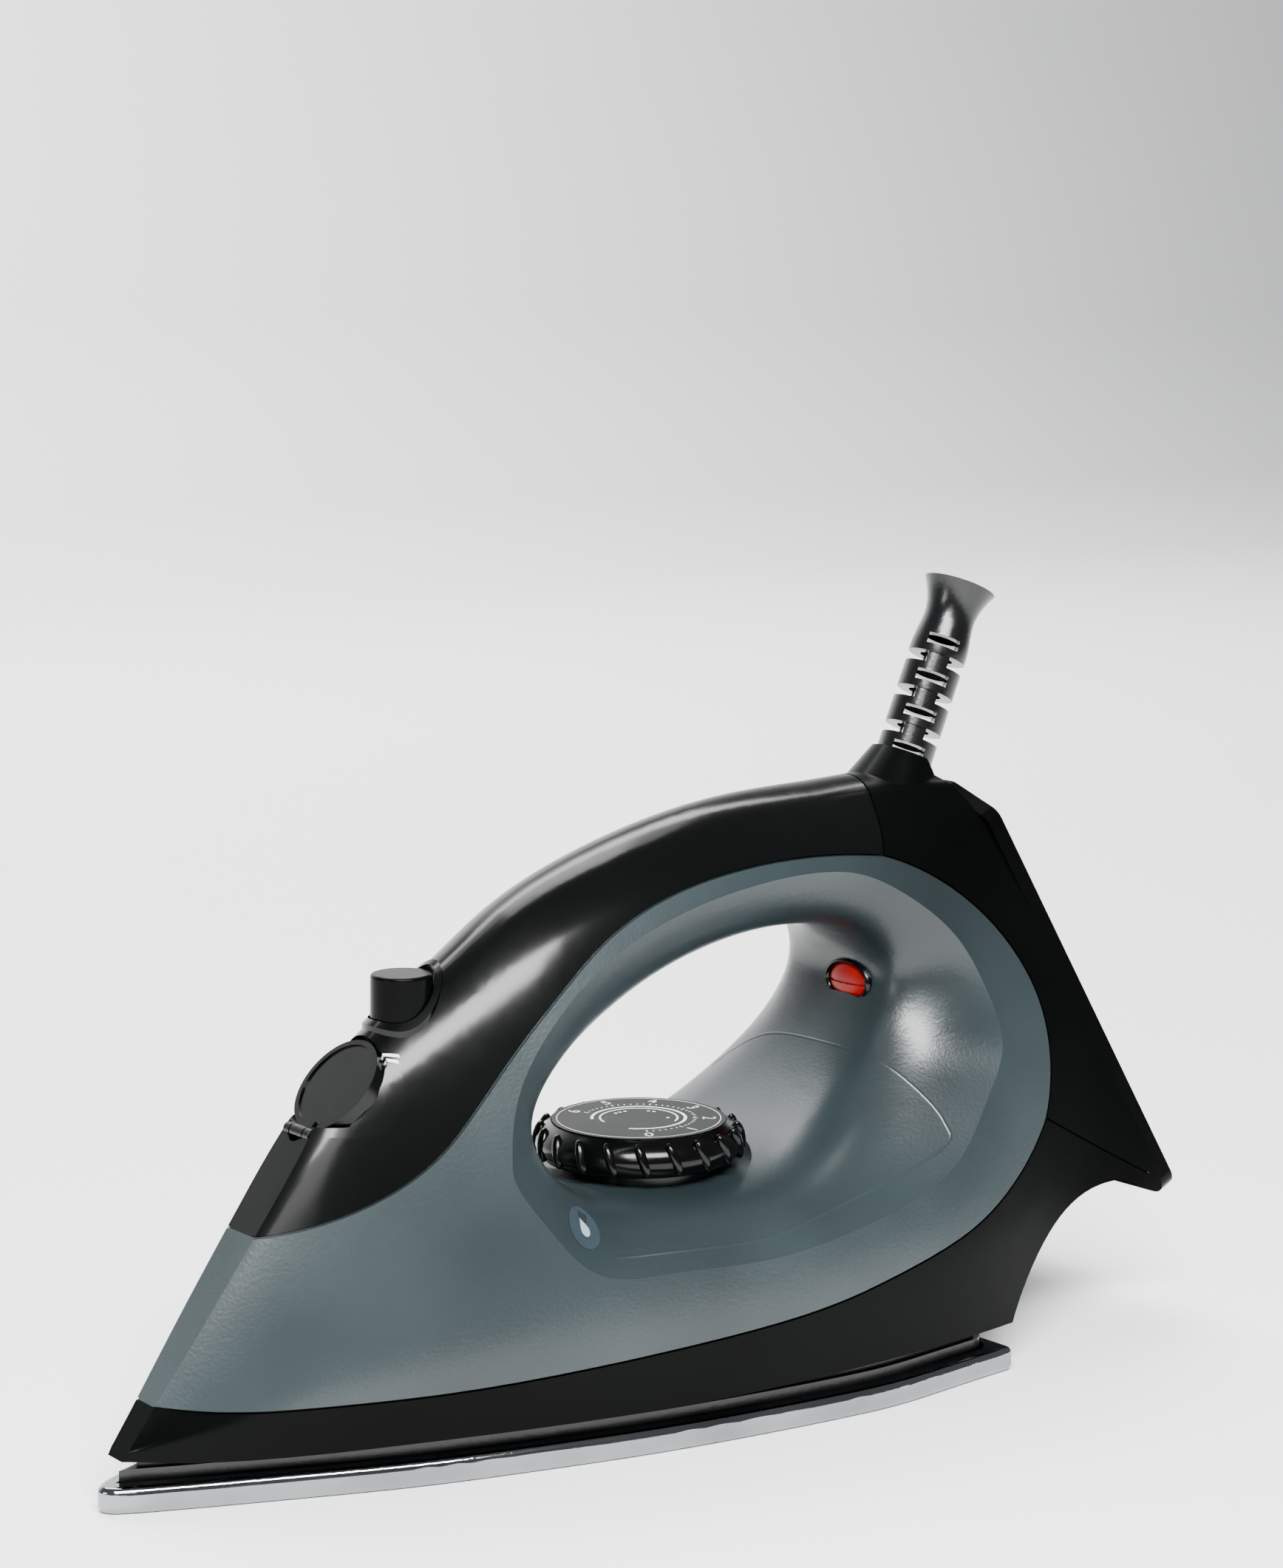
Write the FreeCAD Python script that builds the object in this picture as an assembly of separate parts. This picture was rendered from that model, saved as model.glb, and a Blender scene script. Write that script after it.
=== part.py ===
import FreeCAD, Part
import math
import os
from FreeCAD import Vector

# Steam iron. X runs from the nose to the heel, Y across, Z up from the ironing face.
# The model is drawn with X = 0 at the tip of the sole and centred over the origin when saved.

# Overall sizes
sole_length = 210.0
sole_width = 104.0
body_height = 134.6  # handle top above the ironing face
skirt_base = 11.0  # nominal height where the moulded body begins
nose_slope = 54.0  # rake of the front edge from horizontal, degrees
heel_slope = 25.0  # lean of the heel plate from vertical, degrees
heel_foot_x = 273.0  # rear edge of the heel plate at its foot
heel_foot_z = 31.4
heel_plate_thickness = 4.0

# Mouldings
wall = 2.4
seam_width = 0.5
seam_depth = 0.7

# Soleplate
skin_thickness = 1.2
bead_width = 3.6
bead_height = 5.6
bead_round = 1.5
sole_corner = 2.0
casting_inset = 4.6
casting_top = 8.0
port_radius = 1.5
shield_inset = 6.0
shield_wall = 1.0
shield_rise = 2.0  # top of the heat shield above the body's lower edge
chassis_thickness = 2.2
floor_drop = 0.3
floor_thickness = 2.0

# Heater and steam chamber
heater_radius = 3.3
heater_centre_x = 118.0
heater_half_gap = 22.0
heater_end_x = 182.0
heater_sink = 0.5
pin_radius = 1.5
pin_length = 12.0
chamber_front = 36.0
chamber_rear = 86.0
chamber_inset = 12.0
chamber_depth = 4.0
cover_overlap = 2.5
cover_thickness = 1.2
gasket_thickness = 0.8
fuse_radius = 1.8
fuse_length = 16.0

# Thermostat and dial
dial_x = 138.6
dial_radius = 24.4
dial_height = 8.3
dial_ribs = 20
rib_radius = 1.5
dial_face_radius = 19.8
dial_face_height = 0.5
dial_wall = 2.2
dial_gap = 0.5
dial_well_gap = 1.2
ring_radius = 19.0
ring_rise = 1.6
shaft_radius = 3.0
shaft_clearance = 0.6
shaft_fit = 0.06
shaft_engagement = 4.0
tunnel_wall = 1.4
thermostat_radius = 11.0
thermostat_height = 9.0

# Steam button and valve
button_x = 74.5
button_radius = 6.9
button_top = 102.0
button_length = 18.0
button_round = 0.7
button_clearance = 0.35
collar_wall = 1.3
collar_rise = 0.9
rod_radius = 1.6
rod_clearance = 0.5
valve_wall = 1.2
valve_seat_width = 1.6
valve_seat_height = 2.0
valve_rest_gap = 7.0
bellows_radius = 4.4
bellows_fold = 1.2
bellows_wall = 0.7
bellows_folds = 4
bellows_height = 12.0

# Filler cap and throat
cap_edge_x = 65.094  # upper edge of the cap, beside the button
cap_edge_z = 88.623
cap_slope = 48.0
cap_radius = 11.2
cap_thickness = 2.6
cap_rim = 1.2
cap_dish = 0.4
cap_gap = 0.6
seat_margin = 2.4
seat_depth = 6.0
throat_radius = 4.4
throat_wall = 1.2
throat_length = 7.0
funnel_x = 62.0
funnel_foot = 58.0
funnel_top = 74.0
plug_clearance = 0.6
plug_length = 2.4
hinge_reach = 1.2
hinge_lift = 0.4
hinge_pin_radius = 0.8
hinge_fit = 0.05
hinge_knuckle = 1.5
hinge_clearance = 0.4
knuckle_length = 4.6
ear_length = 2.0

# Cord guard
guard_x = 218.0
guard_z = 134.0
guard_lean = 24.0
guard_length = 47.0
guard_bore = 4.0
guard_neck = 5.8
guard_ring = 6.9
guard_rings = 2
guard_first_window = 4.4
guard_pitch = 9.1
guard_ring_height = 6.4
guard_window = 7.6
guard_window_height = 2.6
guard_bridge = 5.2
guard_turn = -38.0  # the windows face the front left corner
guard_root = 16.0
guard_flange = 8.0
guard_flange_height = 2.0
flare_start = 28.5
flare_waist = 6.2
flare_radius = 8.8
cone_top_radius = 8.2
cone_bottom_radius = 13.0
cone_below = 8.0
cone_above = 3.5
guard_clearance = 0.3

# Indicator lamp
lamp_y = -5.0
lamp_z = 86.0
lamp_half_height = 4.2
lamp_half_width = 5.4
lamp_bezel = 1.0
lamp_proud = 0.9
lamp_depth = 9.0
neon_radius = 2.6
neon_length = 12.0

# Heel and wiring parts
heel_plate_height = 103.9
heel_foot_half = 42.0
heel_top_half = 22.3
heel_crown_half = 10.0
heel_crown_height = 110.5
heel_low_spot = (26.0, 25.0)
heel_high_spot = (14.5, 95.0)
heel_corner_radius = 4.0
boss_radius = 3.6
boss_length = 10.0
block_half = 12.0
block_low = 44.0
block_high = 58.0
block_depth = 8.0
clamp_half = 9.0
clamp_low = 84.0
clamp_high = 92.0
clamp_depth = 6.0
clamp_bar = 2.0

# Fasteners
screw_radius = 1.6
screw_head = 3.0
screw_head_height = 1.6
screw_slot = 0.8
screw_length = 8.0
head_clearance = 0.4
post_radius = 3.4

# Stretch of the drawn curves with the overall sizes
length_scale = sole_length / 210.0
width_scale = sole_width / 104.0
height_scale = (body_height - skirt_base) / 123.6
shield_top = skirt_base + shield_rise * height_scale

# Body stations: distance from the nose, half width, height, share of the square-shouldered rear shape
stations = [
    (0.0, 1.4, 13.0, 0.0),
    (6.0, 3.9, 18.6, 0.0),
    (18.0, 10.2, 34.2, 0.0),
    (32.0, 16.6, 53.2, 0.0),
    (46.0, 22.4, 71.8, 0.0),
    (60.0, 27.6, 86.0, 0.0),
    (78.0, 33.4, 99.3, 0.0),
    (100.0, 39.3, 114.1, 0.0),
    (125.0, 44.8, 124.4, 0.0),
    (150.0, 48.6, 130.5, 0.0),
    (175.0, 50.3, 133.2, 0.0),
    (200.0, 49.8, 134.2, 0.05),
    (222.0, 48.2, 134.6, 0.65),
    (245.0, 46.2, 134.6, 1.0),
    (290.0, 41.5, 134.6, 1.0),
]
# Share of the height, then share of the half width in the front and rear shapes
bell = [
    (0.0, 1.0, 0.97),
    (0.12, 0.985, 0.935),
    (0.25, 0.937, 0.87),
    (0.42, 0.818, 0.775),
    (0.60, 0.666, 0.66),
    (0.75, 0.523, 0.56),
    (0.86, 0.402, 0.485),
    (0.92, 0.311, 0.445),
    (0.96, 0.218, 0.38),
    (0.985, 0.135, 0.27),
    (1.0, 0.0, 0.0),
]
# Hand opening: x and z on the centre plane, then x, z and half width at the outer rim
opening = [
    (100.0, 64.5, 84.3, 62.0, 25.0),
    (101.3, 71.5, 86.5, 73.0, 22.5),
    (109.0, 79.5, 95.5, 86.0, 20.0),
    (122.5, 88.0, 112.0, 101.0, 18.5),
    (140.0, 96.1, 133.0, 110.5, 18.5),
    (162.0, 101.3, 158.0, 115.5, 19.5),
    (182.0, 101.5, 184.0, 115.3, 21.0),
    (193.5, 97.3, 203.0, 106.8, 25.0),
    (197.6, 88.5, 215.0, 92.0, 30.0),
    (194.0, 79.0, 219.0, 75.0, 35.0),
    (186.0, 69.6, 211.0, 61.5, 40.0),
    (173.0, 59.4, 194.0, 49.0, 45.0),
    (158.0, 52.4, 168.0, 41.2, 46.7),
    (138.0, 50.2, 141.0, 38.0, 44.7),
    (119.0, 50.4, 115.0, 37.4, 40.0),
    (105.5, 55.0, 93.5, 43.5, 33.5),
]
opening_levels = [0.0, 8.0, 15.0, 21.0, 28.0, 36.0, 44.0, 52.0, 60.0]
flare_power = 4.0

# Side-view seams between the mouldings
handle_seam = [(-20, 54), (15, 53), (34, 52.5), (45, 54.5), (58, 58.9), (70, 65.6), (80.4, 75), (92.3, 87),
               (103, 96.4), (115, 105.6), (132, 113.6), (153, 118.2), (174, 119.4), (195, 117.8)]
rear_seam = [(195, 117.8), (206.5, 113), (217.5, 105.2), (228, 93.3), (234, 80.5), (234.3, 66), (229.8, 54.4)]
skirt_seam = [(229.8, 54.4), (222, 47.2), (211, 40.7), (200, 36), (188, 32.4), (173, 29), (159, 26.2),
              (130, 22.9), (113, 21.6), (94, 20.3), (67, 19), (42, 18.8), (20, 19.6), (8, 21.4), (-20, 24)]
cover_seam = [(195, 117.8), (197.2, 123.7), (199, 129.1), (200.8, 133), (206, 150)]
heel_seam = [(229.8, 54.4), (300, 15.4)]
skirt_foot = [(-30, 11.6), (2, 11.0), (12, 10.0), (55, 9.3),
              (120, 9.4), (160, 10.4), (211, 11.0), (300, 11.4)]
sole_plan = [(208.0, 49.6), (203, 49.9), (187, 51.1), (171, 52.0), (157, 50.9), (130, 46.9), (112, 43.4),
             (84, 36.0), (57.5, 27.6), (38, 19.6), (20, 11.8), (9, 6.8), (3.4, 4.0), (0.9, 2.1), (0.0, 0.0)]
heel_arch_x = 250.0
heel_arch_z = -7.8
heel_arch_radius = 44.1
heel_arch_top = 36.3
reach = 80.0  # half length of the cutting tools across the body

bodies = {}


def save(name, shape):
    bodies[name] = shape


def place(x, z):
    """Stretches a drawn side-view point to the overall sizes."""
    return x * length_scale, skirt_base + (z - 11.0) * height_scale


def spline_edge(points):
    curve = Part.BSplineCurve()
    curve.interpolate(Points=points)
    return curve.toShape()


def side_edge(points):
    return spline_edge([Vector(place(x, z)[0], 0, place(x, z)[1]) for x, z in points])


def side_line(points):
    corners = [Vector(place(x, z)[0], 0, place(x, z)[1]) for x, z in points]
    return Part.makePolygon(corners).Edges


def slab(edges, half=reach):
    """Side-view outline made solid across the whole body."""
    face = Part.Face(Part.Wire(Part.__sortEdges__(edges)))
    face.translate(Vector(0, -half, 0))
    return face.extrude(Vector(0, 2 * half, 0))


def cylinder(radius, height, base, axis=Vector(0, 0, 1)):
    return Part.makeCylinder(radius, height, base, axis)


def box(x0, x1, y0, y1, z0, z1):
    return Part.makeBox(x1 - x0, y1 - y0, z1 - z0, Vector(x0, y0, z0))


def bell_wire(station, inset):
    x, half, top, rear = station
    half = max(half * width_scale - inset, 0.3)
    top = place(x, top)[1] - 1.25 * inset
    foot = skirt_base - 7.0
    side = [(foot, half * (1.0 - 0.03 * rear))]
    for level, front_share, rear_share in bell[1:]:
        share = front_share * (1 - rear) + rear_share * rear
        side.append((skirt_base + level * (top - skirt_base), half * share))
    x = x * length_scale
    points = [Vector(x, y, z) for z, y in side] + [Vector(x, -y, z) for z, y in reversed(side[:-1])]
    steps = [i / (len(points) - 1) for i in range(len(points))]
    curve = Part.BSplineCurve()
    curve.interpolate(Points=points, Parameters=steps)
    return Part.Wire([curve.toShape(), Part.makeLine(points[-1], points[0])])


def body_block(inset):
    wires = [bell_wire(s, inset) for s in stations]
    return Part.makeLoft(wires, True, False)


def nose_block(inset):
    """Everything behind the raked front face, set back by the inset."""
    lean = math.radians(nose_slope)
    foot_x, foot_z = 3.9, skirt_base
    run = inset / math.sin(lean)
    low = Vector(foot_x + run - 40 / math.tan(lean), 0, foot_z - 40)
    high = Vector(foot_x + run + 200 / math.tan(lean), 0, foot_z + 200)
    far = 320 * length_scale + 60
    corners = [low, high, Vector(far, 0, foot_z + 200), Vector(far, 0, foot_z - 40), low]
    return slab(Part.makePolygon(corners).Edges)


def heel_frame():
    """Foot of the heel plate and the directions up along it and out of it."""
    lean = math.radians(heel_slope)
    foot = Vector(place(heel_foot_x, 0)[0], 0, place(0, heel_foot_z)[1])
    return foot, Vector(-math.sin(lean), 0, math.cos(lean)), Vector(math.cos(lean), 0, math.sin(lean))


def heel_block(depth):
    """Everything in front of the heel plane, set in by the depth."""
    foot, up, out = heel_frame()
    base = foot - out * depth
    corners = [base - up * 120, base + up * 300, base + up * 300 - out * 600, base - up * 120 - out * 600]
    return slab(Part.makePolygon(corners + [corners[0]]).Edges)


def arch_tool(grow):
    """The hollow under the heel."""
    x, z = place(heel_arch_x, heel_arch_z)
    radius = heel_arch_radius * height_scale + grow
    drum = cylinder(radius, 2 * reach, Vector(x, -reach, z), Vector(0, 1, 0))
    ledge = place(0, heel_arch_top)[1] + grow
    return drum.fuse(box(x, x + 120, -reach, reach, -60, ledge))


def opening_wire(level, grow):
    points = []
    count = len(opening)
    for i in range(count):
        x0, z0, x1, z1, rim = opening[i]
        share = abs(level) / (rim * width_scale)
        pull = share ** flare_power if share < 1 else 1 + 2.0 * (share - 1)
        before, after = opening[i - 1], opening[(i + 1) % count]
        away = Vector(before[1] - after[1], 0, after[0] - before[0]).normalize()
        x, z = place(x0 + (x1 - x0) * pull, z0 + (z1 - z0) * pull)
        points.append(Vector(x, level, z) + away * grow)
    steps = [i / count for i in range(count + 1)]
    curve = Part.BSplineCurve()
    curve.interpolate(Points=points, PeriodicFlag=True, Parameters=steps)
    return Part.Wire(curve.toShape())


def opening_block(grow):
    levels = [v * width_scale for v in opening_levels]
    wires = [opening_wire(v, grow) for v in [-v for v in reversed(levels[1:])] + levels]
    return Part.makeLoft(wires, True, False)


def ribbon(points, low, high, straight=False):
    """Band between two offsets from a side-view seam."""
    edge = side_line(points)[0] if straight else side_edge(points)
    first, last = edge.FirstParameter, edge.LastParameter
    tops, bottoms = [], []
    for i in range(41):
        t = first + (last - first) * i / 40.0
        spot, along = edge.valueAt(t), edge.tangentAt(t)
        away = Vector(-along.z, 0, along.x)
        tops.append(spot + away * high)
        bottoms.append(spot + away * low)
    ends = [Part.makeLine(tops[0], bottoms[0]), Part.makeLine(tops[-1], bottoms[-1])]
    if straight:
        return slab([Part.makeLine(tops[0], tops[-1]), Part.makeLine(bottoms[0], bottoms[-1])] + ends)
    return slab([spline_edge(tops), spline_edge(bottoms)] + ends)


def regions():
    """Side-view regions of the four mouldings."""
    handle = side_edge(handle_seam)
    rear = side_edge(rear_seam)
    skirt = side_edge(skirt_seam)
    cover = side_edge(cover_seam)
    heel = side_line(heel_seam)
    far_top = 190
    far_left = -20
    far_right = 300
    far_low = -10
    tank = slab([handle, rear, skirt] + side_line([skirt_seam[-1], handle_seam[0]]))
    top_way = [cover_seam[-1], (206, far_top), (far_left, far_top), handle_seam[0]]
    top = slab([handle, cover] + side_line(top_way))
    back_way = [heel_seam[-1], (far_right, far_top), (206, far_top), (206, 150)]
    back = slab([rear, cover] + heel + side_line(back_way))
    foot = side_line([skirt_seam[-1], (far_left, far_low), (far_right, far_low), heel_seam[-1]])
    base = slab([skirt] + heel + foot)
    return tank, top, back, base


def below_foot():
    edge = side_edge(skirt_foot)
    ends = [Vector(place(x, 0)[0], 0, -40) for x in (skirt_foot[-1][0], skirt_foot[0][0])]
    start, stop = edge.Vertexes[0].Point, edge.Vertexes[-1].Point
    return slab([edge] + Part.makePolygon([stop, ends[0], ends[1], start]).Edges)


def guard_frame():
    lean = math.radians(guard_lean)
    x, z = place(guard_x, guard_z)
    return Vector(x, 0, z), Vector(math.sin(lean), 0, math.cos(lean))


def cap_frame():
    """Middle of the cap's outer face, the direction up its slope and the direction out of it."""
    lean = math.radians(cap_slope)
    x, z = place(cap_edge_x, cap_edge_z)
    along = Vector(math.cos(lean), 0, math.sin(lean))
    across = Vector(-math.sin(lean), 0, math.cos(lean))
    return Vector(x, 0, z) - along * cap_radius, along, across


def collar_cone():
    foot, along = guard_frame()
    start = foot - along * cone_below
    return Part.makeCone(cone_bottom_radius, cone_top_radius, cone_below + cone_above, start, along)


def guard_passage():
    foot, along = guard_frame()
    below = guard_root + 4
    bore = cylinder(guard_neck + guard_clearance, below + 1, foot - along * below, along)
    flange_room = cylinder(guard_flange + guard_clearance, 4 + guard_flange_height + guard_clearance,
                           foot - along * below, along)
    ring_foot = foot - along * guard_clearance
    ring_room = cylinder(guard_ring + guard_clearance, 2 * cone_above, ring_foot, along)
    return bore.fuse([flange_room, ring_room])


def outer_body():
    shape = body_block(0.0).common(nose_block(0.0))
    shape = shape.fuse(collar_cone()).common(heel_block(heel_plate_thickness))
    return shape.cut(arch_tool(0.0)).cut(below_foot())


def inner_body():
    shape = body_block(wall).common(nose_block(wall)).common(heel_block(heel_plate_thickness))
    return shape.cut(arch_tool(wall))


def surface_point(block, start, direction):
    """Where a ray that starts inside a block leaves it."""
    ray = Part.makeLine(start, start + direction * 150)
    inside = block.common(ray)
    return max((v.Point for v in inside.Vertexes), key=lambda p: (p - start).Length)


def opening_centre():
    x, z = place(dial_x, 75.0)
    return Vector(x, 0, z)


def dial_axis_x():
    return place(dial_x, 0)[0]


def button_axis_x():
    return place(button_x, 0)[0]


def cap_step():
    """Flat step in the handle front that the filler cap lies in."""
    centre, up, out = cap_frame()
    return cylinder(cap_radius + cap_gap, 40, centre - out * cap_thickness, out)


def throat_tool(radius, extra=0.0):
    """Slanted throat under the cap joined to the drop tube into the tank."""
    centre, up, out = cap_frame()
    seat = centre - out * cap_thickness
    x, low = place(funnel_x, funnel_foot)
    high = place(funnel_x, funnel_top)[1]
    slanted = cylinder(radius, throat_length + extra, seat - out * throat_length, out)
    return slanted.fuse(cylinder(radius, high - low + 2 * extra, Vector(x, 0, low - extra)))


def hinge_point():
    centre, up, out = cap_frame()
    return centre - up * (cap_radius + hinge_reach) + out * hinge_lift


def cross_rod(radius, length, centre):
    return cylinder(radius, length, centre - Vector(0, length / 2, 0), Vector(0, 1, 0))


def handle_front(piece, outer):
    """Cap seat, hinge ears and button guide added to the handle cover."""
    centre, up, out = cap_frame()
    seat = centre - out * cap_thickness
    pad = outer.common(cylinder(cap_radius + seat_margin, seat_depth + 30, seat - out * seat_depth, out))
    boss = cylinder(cap_radius - 1.0, seat_depth + 1.0, seat - out * seat_depth, out)
    gap = knuckle_length + 2 * hinge_clearance
    ears_span = gap + 2 * ear_length
    piece = piece.fuse([pad, boss]).cut(cap_step())
    pin = hinge_point()
    ears = cross_rod(hinge_knuckle, ears_span, pin).fuse(
        cross_rod(hinge_knuckle, ears_span, pin - out * hinge_knuckle - up * 0.6))
    piece = piece.fuse(ears)
    pocket = cross_rod(hinge_knuckle + hinge_clearance, gap, pin)
    pocket = pocket.fuse(cylinder(gap / 2, 8, pin - out * 1.0, out))
    tab_room = Part.makeBox(cap_radius, gap, 30, Vector(0, -gap / 2, 0))
    tab_room.Placement = FreeCAD.Placement(pin - out * (hinge_knuckle + hinge_clearance),
                                           FreeCAD.Rotation(up, Vector(0, 1, 0), out))
    piece = piece.cut([pocket, tab_room, cross_rod(hinge_pin_radius, ears_span + 1, pin)])
    x = button_axis_x()
    low = place(0, button_top)[1] - 30
    guide = cylinder(button_radius + button_clearance + collar_wall, 80, Vector(x, 0, low))
    return piece.cut([throat_tool(throat_radius + throat_wall, 0.01), guide])


def seam_grooves():
    half = seam_width / 2
    bands = [ribbon(seam, -half, half) for seam in (handle_seam, rear_seam, skirt_seam)]
    bands += [ribbon(cover_seam, -half, half), ribbon(heel_seam, -half, half, True)]
    core = body_block(seam_depth)
    return Part.makeCompound([b.cut(core) for b in bands])


def dial_well(grow):
    """Flat-bottomed clearance for the dial in the deck."""
    x = dial_axis_x()
    return cylinder(dial_radius + dial_well_gap + grow, 9, Vector(x, 0, deck_z - grow))


def shaft_tunnel(radius, low, high):
    return cylinder(radius, high - low, Vector(dial_axis_x(), 0, low))


def mouldings(outer, inner, plug, plug_grown):
    shell = outer.cut(plug).cut(inner.cut(plug_grown))
    grooves = seam_grooves()
    result = {}
    for name, region in zip(("water_tank", "handle_cover", "rear_cover", "skirt"), regions()):
        piece = shell.common(region)
        if name == "handle_cover":
            piece = handle_front(piece, outer)
        if name == "rear_cover":
            piece = piece.cut(guard_passage())
        piece = piece.cut(grooves)
        if name == "water_tank":
            bore = shaft_radius + shaft_clearance
            floor = place(0, skirt_seam_height)[1]
            piece = piece.fuse(shaft_tunnel(bore + tunnel_wall, floor, deck_z - wall / 2))
            piece = piece.cut(shaft_tunnel(bore, floor - 1, deck_z + 1)).cut(lamp_tool(lamp_bezel, 30))
            piece = piece.cut(ring_groove())
        result[name] = piece
    return result


def ring_groove():
    x = dial_axis_x()
    return cylinder(ring_radius, 3, Vector(x, 0, deck_z - 0.8)).cut(
        cylinder(ring_radius - dial_wall, 5, Vector(x, 0, deck_z - 2)))


def dial_ring():
    x = dial_axis_x()
    tube = cylinder(ring_radius, ring_rise + 0.8, Vector(x, 0, deck_z - 0.8))
    return tube.cut(cylinder(ring_radius - dial_wall, ring_rise + 4, Vector(x, 0, deck_z - 2)))


def dial():
    x, low = dial_axis_x(), deck_z + ring_rise + dial_gap
    rim = dial_radius - rib_radius * 0.6
    profile = [(0, 0), (rim - 1.0, 0), (rim, 1.2), (rim, dial_height - 3.4), (rim - 2.3, dial_height - 0.5),
               (rim - 2.9, dial_height), (0, dial_height), (0, 0)]
    face = Part.Face(Part.makePolygon([Vector(r, 0, z) for r, z in profile]))
    body = face.revolve(Vector(0, 0, 0), Vector(0, 0, 1), 360)
    ribs = []
    for i in range(dial_ribs):
        turn = 360.0 / dial_ribs * i
        foot = Vector(dial_radius - rib_radius, 0, 0.8)
        rib = cylinder(rib_radius, dial_height - 3.0, foot, Vector(0, 0.22, 1))
        rib.rotate(Vector(0, 0, 0), Vector(0, 0, 1), turn)
        ribs.append(rib)
    body = body.fuse(ribs)
    under = cylinder(rim - dial_wall, dial_height - dial_wall - 2.0, Vector(0, 0, -0.01))
    hub = cylinder(shaft_radius + dial_wall, dial_height, Vector(0, 0, -0.02))
    body = body.cut(under.cut(hub)).cut(cylinder(shaft_radius, dial_height - dial_wall, Vector(0, 0, -0.1)))
    body = body.cut(cylinder(dial_face_radius, 1, Vector(0, 0, dial_height - dial_face_height / 2)))
    body.translate(Vector(x, 0, low))
    return body, low


def dial_face(low):
    base = Vector(dial_axis_x(), 0, low + dial_height - dial_face_height / 2)
    return cylinder(dial_face_radius, dial_face_height, base)


def thermostat(low):
    x = dial_axis_x()
    shape = cylinder(thermostat_radius, thermostat_height, Vector(x, 0, low))
    for side in (-1, 1):
        shape = shape.fuse(box(x - 3, x + 3, side * 8.0 - 2, side * 8.0 + 2, low + thermostat_height - 0.2,
                               low + thermostat_height + 1.0))
    shaft_end = Vector(x, 0, low + thermostat_height - shaft_engagement)
    bore = cylinder(shaft_radius + shaft_fit, shaft_engagement + 2, shaft_end)
    return shape.cut(bore)


def thermostat_shaft(top):
    low = casting_top + thermostat_height - shaft_engagement + 0.3
    return cylinder(shaft_radius, top - low, Vector(dial_axis_x(), 0, low))


def sole_side(inset):
    """Half outline of the sole from the rear corner to the nose, set in by the inset."""
    half = [Vector(x * length_scale, y * width_scale, 0) for x, y in sole_plan]
    if not inset:
        return half
    edge = spline_edge(half + [Vector(p.x, -p.y, 0) for p in reversed(half[:-1])])
    first, middle = edge.FirstParameter, (edge.FirstParameter + edge.LastParameter) / 2
    side = []
    for i in range(31):
        t = first + (middle - first) * i / 30.0
        spot, along = edge.valueAt(t), edge.tangentAt(t)
        spot += Vector(-along.y, along.x, 0) * inset
        if spot.y <= 0:
            last = side[-1]
            side.append(last + (spot - last) * (last.y / (last.y - spot.y)))
            return side
        if spot.x < sole_length - inset - sole_corner:
            side.append(spot)
    side[-1].y = 0
    return side


def sole_face(inset):
    side = sole_side(inset)
    mirrored = [Vector(p.x, -p.y, 0) for p in side]
    rear, corner = sole_length - inset, side[0]
    drop = rear - corner.x
    if inset:
        edges = [spline_edge(side), spline_edge(mirrored)]
    else:
        edges = [spline_edge(side + mirrored[-2::-1])]
    for sign in (1, -1):
        start = Vector(corner.x, sign * corner.y, 0)
        stop = Vector(rear, sign * (corner.y - drop), 0)
        middle = Vector(corner.x + drop * 0.7, sign * (corner.y - drop * 0.3), 0)
        edges.append(Part.Arc(start, middle, stop).toShape())
    edges.append(Part.makeLine(Vector(rear, corner.y - drop, 0), Vector(rear, drop - corner.y, 0)))
    return Part.Face(Part.Wire(Part.__sortEdges__(edges)))


def sole_prism(inset, low, high):
    face = sole_face(inset)
    face.translate(Vector(0, 0, low))
    return face.extrude(Vector(0, 0, high - low))


def level_edges(shape, height):
    return [e for e in shape.Edges if all(abs(v.Z - height) < 1e-6 for v in e.Vertexes) and e.Length > 0.5
            and abs(e.valueAt((e.FirstParameter + e.LastParameter) / 2).z - height) < 1e-6]


def steam_ports(low, high):
    """Two nested V rows of ports behind the tip of the sole."""
    spots = [(42, 0), (58, 0)]
    for row in range(5):
        spots += [(50 + 8 * row, side * (5 + 4 * row)) for side in (-1, 1)]
    for row in range(3):
        spots += [(66 + 8 * row, side * (4.5 + 3.8 * row)) for side in (-1, 1)]
    feet = [Vector(x * length_scale, y * width_scale, low) for x, y in spots]
    ports = [cylinder(port_radius, high - low, foot) for foot in feet]
    return Part.makeCompound(ports)


def sole_skin():
    block = sole_prism(0, 0, bead_height)
    block = block.makeFillet(bead_round, level_edges(block, 0) + level_edges(block, bead_height))
    return block.cut(sole_prism(bead_width, skin_thickness, bead_height + 1)).cut(steam_ports(-1, 3))


def chamber_zone(inset, low, high):
    span = cover_overlap if inset < chamber_inset else 0.0
    front = (chamber_front - span) * length_scale
    rear = (chamber_rear + span) * length_scale
    zone = box(front, rear, -reach, reach, low, high)
    return sole_prism(inset, low, high).common(zone)


def heater_tube():
    z = casting_top - heater_sink
    x, end = heater_centre_x * length_scale, heater_end_x * length_scale
    ring = Part.makeTorus(heater_half_gap, heater_radius, Vector(x, 0, z), Vector(0, 0, 1))
    bend = ring.common(box(x - 60, x, -reach, reach, z - 10, z + 10))
    starts = [Vector(x, side * heater_half_gap, z) for side in (-1, 1)]
    legs = [cylinder(heater_radius, end - x, start, Vector(1, 0, 0)) for start in starts]
    return bend.fuse(legs)


def heater_pins():
    z = casting_top - heater_sink
    end = heater_end_x * length_scale
    ends = [Vector(end, side * heater_half_gap, z) for side in (-1, 1)]
    pins = [cylinder(pin_radius, pin_length, start, Vector(1, 0, 0)) for start in ends]
    return Part.makeCompound(pins)


def post_spots():
    spots = [(104, 0), (170, 35), (170, -35)]
    return [(x * length_scale, y * width_scale) for x, y in spots]


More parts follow.
